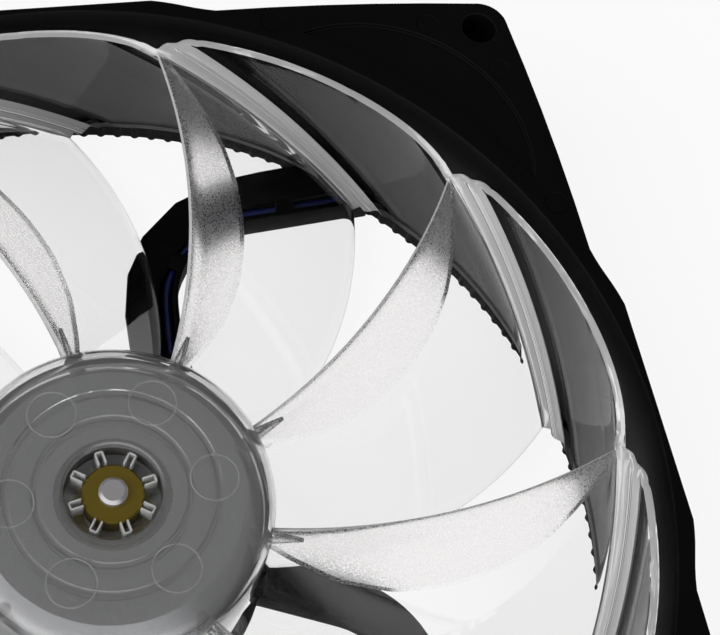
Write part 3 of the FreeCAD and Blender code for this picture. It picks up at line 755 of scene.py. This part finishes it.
def paintedStreakFinish(name):
    material, nodes, links, shader = newMaterial(name)   # painted highlight and painted shade: bright and dark lines that run down the fold
    shader.inputs["Transmission Weight"].default_value = 0.2
    shader.inputs["IOR"].default_value = 1.54
    place = nodes.new("ShaderNodeTexCoord")
    apart = nodes.new("ShaderNodeSeparateXYZ")
    links.new(place.outputs["Object"], apart.inputs[0])
    turned = nodes.new("ShaderNodeMath")
    turned.operation = "ARCTAN2"
    links.new(apart.outputs["Y"], turned.inputs[0])
    links.new(apart.outputs["X"], turned.inputs[1])
    height = impeller["top"] - impeller["bottom"]
    straight = nodes.new("ShaderNodeMath")    # angle with the twist taken out
    straight.operation = "MULTIPLY_ADD"
    straight.inputs[1].default_value = -math.radians(impeller["twist"]) / height
    links.new(apart.outputs["Z"], straight.inputs[0])
    links.new(turned.outputs[0], straight.inputs[2])
    across = nodes.new("ShaderNodeCombineXYZ")
    links.new(straight.outputs[0], across.inputs["X"])
    across.inputs["Y"].default_value = 0.37
    streak = nodes.new("ShaderNodeTexNoise")
    streak.inputs["Scale"].default_value = 330
    streak.inputs["Detail"].default_value = 3
    links.new(across.outputs[0], streak.inputs["Vector"])
    # near black to white: the streaks' painted shade and painted highlight
    shade = nodes.new("ShaderNodeValToRGB")
    shade.color_ramp.elements[0].position = 0.45
    shade.color_ramp.elements[0].color = (0.006, 0.006, 0.007, 1)
    shade.color_ramp.elements[1].position = 0.54
    shade.color_ramp.elements[1].color = (1, 1, 1, 1)
    links.new(streak.outputs["Fac"], shade.inputs["Fac"])
    links.new(shade.outputs["Color"], shader.inputs["Base Color"])
    tone = nodes.new("ShaderNodeMapRange")
    tone.inputs["To Min"].default_value = 0.05
    tone.inputs["To Max"].default_value = 0.2
    links.new(streak.outputs["Fac"], tone.inputs["Value"])
    links.new(tone.outputs["Result"], shader.inputs["Roughness"])
    return material


def frostedFinish(name):
    material, nodes, links, shader = newMaterial(name)
    shader.inputs["Base Color"].default_value = (1.0, 0.985, 0.985, 1)
    shader.inputs["Transmission Weight"].default_value = 0.96
    shader.inputs["IOR"].default_value = 1.32
    speck = addGrain(nodes, 5200, 2, (0.08, 0.5), (0.35, 0.65))
    links.new(speck.outputs["Tone"], shader.inputs["Roughness"])
    addBump(nodes, links, speck.outputs["Level"], shader, 0.25, 0.00006)
    return material


finishes = {
    "clear_moulding": clearFinish("clearMoulding"),
    "black_moulding": plainFinish("blackMoulding", (0.009, 0.009, 0.0095), 0.45, grain=0.3, scale=1800),
    "brass": plainFinish("brassFinish", (0.30, 0.22, 0.035), 0.28, 0.85, grain=0.5, scale=700),
    "sintered_bronze": plainFinish("sinteredBronze", (0.42, 0.30, 0.18), 0.5, 1.0, grain=0.4),
    "white_nylon": plainFinish("whiteNylon", (0.82, 0.81, 0.77), 0.45),
    "silicon_steel": plainFinish("laminatedSteel", (0.38, 0.38, 0.39), 0.4, 1.0),
    "copper_wire": plainFinish("enamelledCopper", (0.62, 0.27, 0.12), 0.3, 1.0, coat=0.5),
    "board_green": plainFinish("boardGreen", (0.03, 0.16, 0.07), 0.35, coat=0.4),
    "chip_black": plainFinish("chipBlack", (0.02, 0.02, 0.02), 0.5),
    "chip_tan": plainFinish("chipTan", (0.45, 0.34, 0.22), 0.45),
    "solder": plainFinish("solderTin", (0.62, 0.62, 0.6), 0.3, 1.0),
    "wire_blue": plainFinish("wireBlue", (0.006, 0.010, 0.07), 0.3),
    "wire_black": plainFinish("wireBlack", (0.006, 0.006, 0.007), 0.35),
    "cord_black": plainFinish("cordBlack", (0.015, 0.015, 0.016), 0.4),
    "connector_black": plainFinish("connectorBlack", (0.016, 0.016, 0.017), 0.4, grain=0.2),
    "yoke_steel": plainFinish("yokeSteel", (0.44, 0.445, 0.465), 0.14, 1.0),
    "magnet_rubber": plainFinish("magnetRubber", (0.06, 0.055, 0.055), 0.6),
    "shaft_steel": plainFinish("shaftSteel", (0.66, 0.64, 0.65), 0.3, 0.8),
}
slotOf = {row["node"]: row["material_slot"] for row in frame["record"]["subparts"]}
nodeFinish = {"strut_wire_1": "wire_black", "strut_wire_3": "wire_blue"}
for name, node in frame["nodes"].items():
    node.data.materials.clear()
    node.data.materials.append(finishes[nodeFinish.get(name, slotOf[name])])
ownFinish = {
    "hubShell": clearFinish("hubMoulding", 0.04, 0.93, metal=0.08),
    "hubMarks": clearFinish("markMoulding", 0.05, 0.82),
    "starRibs": clearFinish("ribMoulding", 0.08, 0.6),
    "rootGussets": clearFinish("gussetMoulding", 0.05, 0.75),
    "frameShell": frameFinish("frameMoulding"),
}
for name, piece in pieces.items():
    finish = ownFinish.get("frameShell" if name in ("rimFlutes", "screwTubes", "strutCover") else name,
                           finishes[piece["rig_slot"]])
    if name == "impellerBlades":
        piece.data.materials[0] = finish
        piece.data.materials[1] = frostedFinish("frostedMoulding")
        piece.data.materials[2] = clearFinish("edgeMoulding", 0.12, 0.6)
    elif name == "impellerRing":
        piece.data.materials[0] = clearFinish("wallMoulding", 0.03, 1.0, 1.27)
        piece.data.materials[1] = clearFinish("rimMoulding", 0.04, 0.62)
        piece.data.materials[2] = paintedStreakFinish("streakMoulding")
        piece.data.materials[3] = clearFinish("quietMoulding", 0.02, 1.0, 1.06)
    elif name == "frameShell":
        piece.data.materials[0] = finish
        # the frame's bevelled edges get three times the base colour: a painted highlight along the edges
        piece.data.materials[1] = frameFinish("frameEdge", 3.0, 0.12)
    else:
        piece.data.materials.clear()
        piece.data.materials.append(finish)
print("materials set")


studio = {
    "floorSize": 4.0,
    "white": 0.9,            # share of the floor that glows white where it is seen
    "mirrored": 0.2,
    "wallLevel": 0.12,
    "boxLevel": 1.1,
    "boxSide": (-0.6, -0.8, 0.0),
    "ceilingLevel": 0.2,
    "wallsEnd": 0.35,
    "ceilingStarts": 0.75,
}
nothingSelected()
bpy.ops.mesh.primitive_plane_add(size=studio["floorSize"], location=(0, 0, -0.0001))
floor = bpy.context.object
floor.name = "floor"
material, nodes, links, shader = newMaterial("floorWhite")
shader.inputs["Base Color"].default_value = (0.8, 0.8, 0.8, 1)
shader.inputs["Roughness"].default_value = 0.9
glow = nodes.new("ShaderNodeEmission")
path = nodes.new("ShaderNodeLightPath")
mirrored = nodes.new("ShaderNodeMath")   # what gloss shows of the floor is a little dimmer
mirrored.operation = "MULTIPLY"
mirrored.inputs[1].default_value = studio["mirrored"]
links.new(path.outputs["Is Glossy Ray"], mirrored.inputs[0])
seen = nodes.new("ShaderNodeMath")
seen.operation = "MAXIMUM"
links.new(path.outputs["Is Camera Ray"], seen.inputs[0])
links.new(mirrored.outputs[0], seen.inputs[1])
seenToo = nodes.new("ShaderNodeMath")
seenToo.operation = "MAXIMUM"
links.new(seen.outputs[0], seenToo.inputs[0])
links.new(path.outputs["Is Transmission Ray"], seenToo.inputs[1])
share = nodes.new("ShaderNodeMath")
share.operation = "MULTIPLY"
share.inputs[1].default_value = studio["white"]
links.new(seenToo.outputs[0], share.inputs[0])
mix = nodes.new("ShaderNodeMixShader")
links.new(share.outputs[0], mix.inputs[0])
links.new(shader.outputs[0], mix.inputs[1])
links.new(glow.outputs[0], mix.inputs[2])
links.new(mix.outputs[0], nodes["Material Output"].inputs["Surface"])
floor.data.materials.append(material)

world = bpy.data.worlds.new("studioWorld")
bpy.context.scene.world = world
world.use_nodes = True
back = world.node_tree.nodes["Background"]
back.inputs["Color"].default_value = (1, 1, 1, 1)
wires = world.node_tree.links
around = world.node_tree.nodes.new("ShaderNodeTexCoord")
split = world.node_tree.nodes.new("ShaderNodeSeparateXYZ")
wires.new(around.outputs["Generated"], split.inputs[0])
fade = world.node_tree.nodes.new("ShaderNodeMapRange")   # pale walls, dim ceiling
fade.interpolation_type = "SMOOTHSTEP"
fade.inputs["From Min"].default_value = studio["wallsEnd"]
fade.inputs["From Max"].default_value = studio["ceilingStarts"]
sideways = world.node_tree.nodes.new("ShaderNodeVectorMath")   # a large soft box on one side
sideways.operation = "DOT_PRODUCT"
sideways.inputs[1].default_value = studio["boxSide"]
wires.new(around.outputs["Generated"], sideways.inputs[0])
walls = world.node_tree.nodes.new("ShaderNodeMapRange")
walls.interpolation_type = "SMOOTHSTEP"
walls.inputs["From Min"].default_value = 0.1
walls.inputs["From Max"].default_value = 0.75
walls.inputs["To Min"].default_value = studio["wallLevel"]
walls.inputs["To Max"].default_value = studio["boxLevel"]
wires.new(sideways.outputs["Value"], walls.inputs["Value"])
wires.new(walls.outputs["Result"], fade.inputs["To Min"])
fade.inputs["To Max"].default_value = studio["ceilingLevel"]
wires.new(split.outputs["Z"], fade.inputs["Value"])
rays = world.node_tree.nodes.new("ShaderNodeLightPath")
lift = world.node_tree.nodes.new("ShaderNodeMath")   # seen through clear plastic, the room is pale
lift.operation = "MULTIPLY"
below = world.node_tree.nodes.new("ShaderNodeMath")
below.operation = "LESS_THAN"
below.inputs[1].default_value = 0.05
wires.new(split.outputs["Z"], below.inputs[0])
wires.new(rays.outputs["Is Transmission Ray"], lift.inputs[0])
wires.new(below.outputs[0], lift.inputs[1])
past = world.node_tree.nodes.new("ShaderNodeMath")   # and it is white behind the floor's edge
past.operation = "MAXIMUM"
wires.new(lift.outputs[0], past.inputs[0])
wires.new(rays.outputs["Is Camera Ray"], past.inputs[1])
most = world.node_tree.nodes.new("ShaderNodeMath")
most.operation = "MAXIMUM"
wires.new(fade.outputs["Result"], most.inputs[0])
wires.new(past.outputs[0], most.inputs[1])
wires.new(most.outputs[0], back.inputs["Strength"])

lamps = {
    "keyLamp": {"place": (-0.5, -0.1, 0.55), "size": 0.5, "watts": 4.5, "inGloss": False},
    "sideLamp": {"place": (0.45, -0.45, 0.35), "size": 0.35, "watts": 1.0, "inGloss": False},
}
for name, lamp in lamps.items():
    data = bpy.data.lights.new(name, "AREA")
    data.shape = "SQUARE"
    data.size = lamp["size"]
    data.energy = lamp["watts"]
    holder = bpy.data.objects.new(name, data)
    holder.location = lamp["place"]
    holder.visible_glossy = holder.visible_transmission = lamp["inGloss"]
    holder.rotation_euler = (-Vector(lamp["place"])).to_track_quat("-Z", "Y").to_euler()
    bpy.context.scene.collection.objects.link(holder)
print("studio set")

for piece in pieces.values():
    if piece.type == "MESH":
        piece.data.update()
bpy.context.view_layer.update()
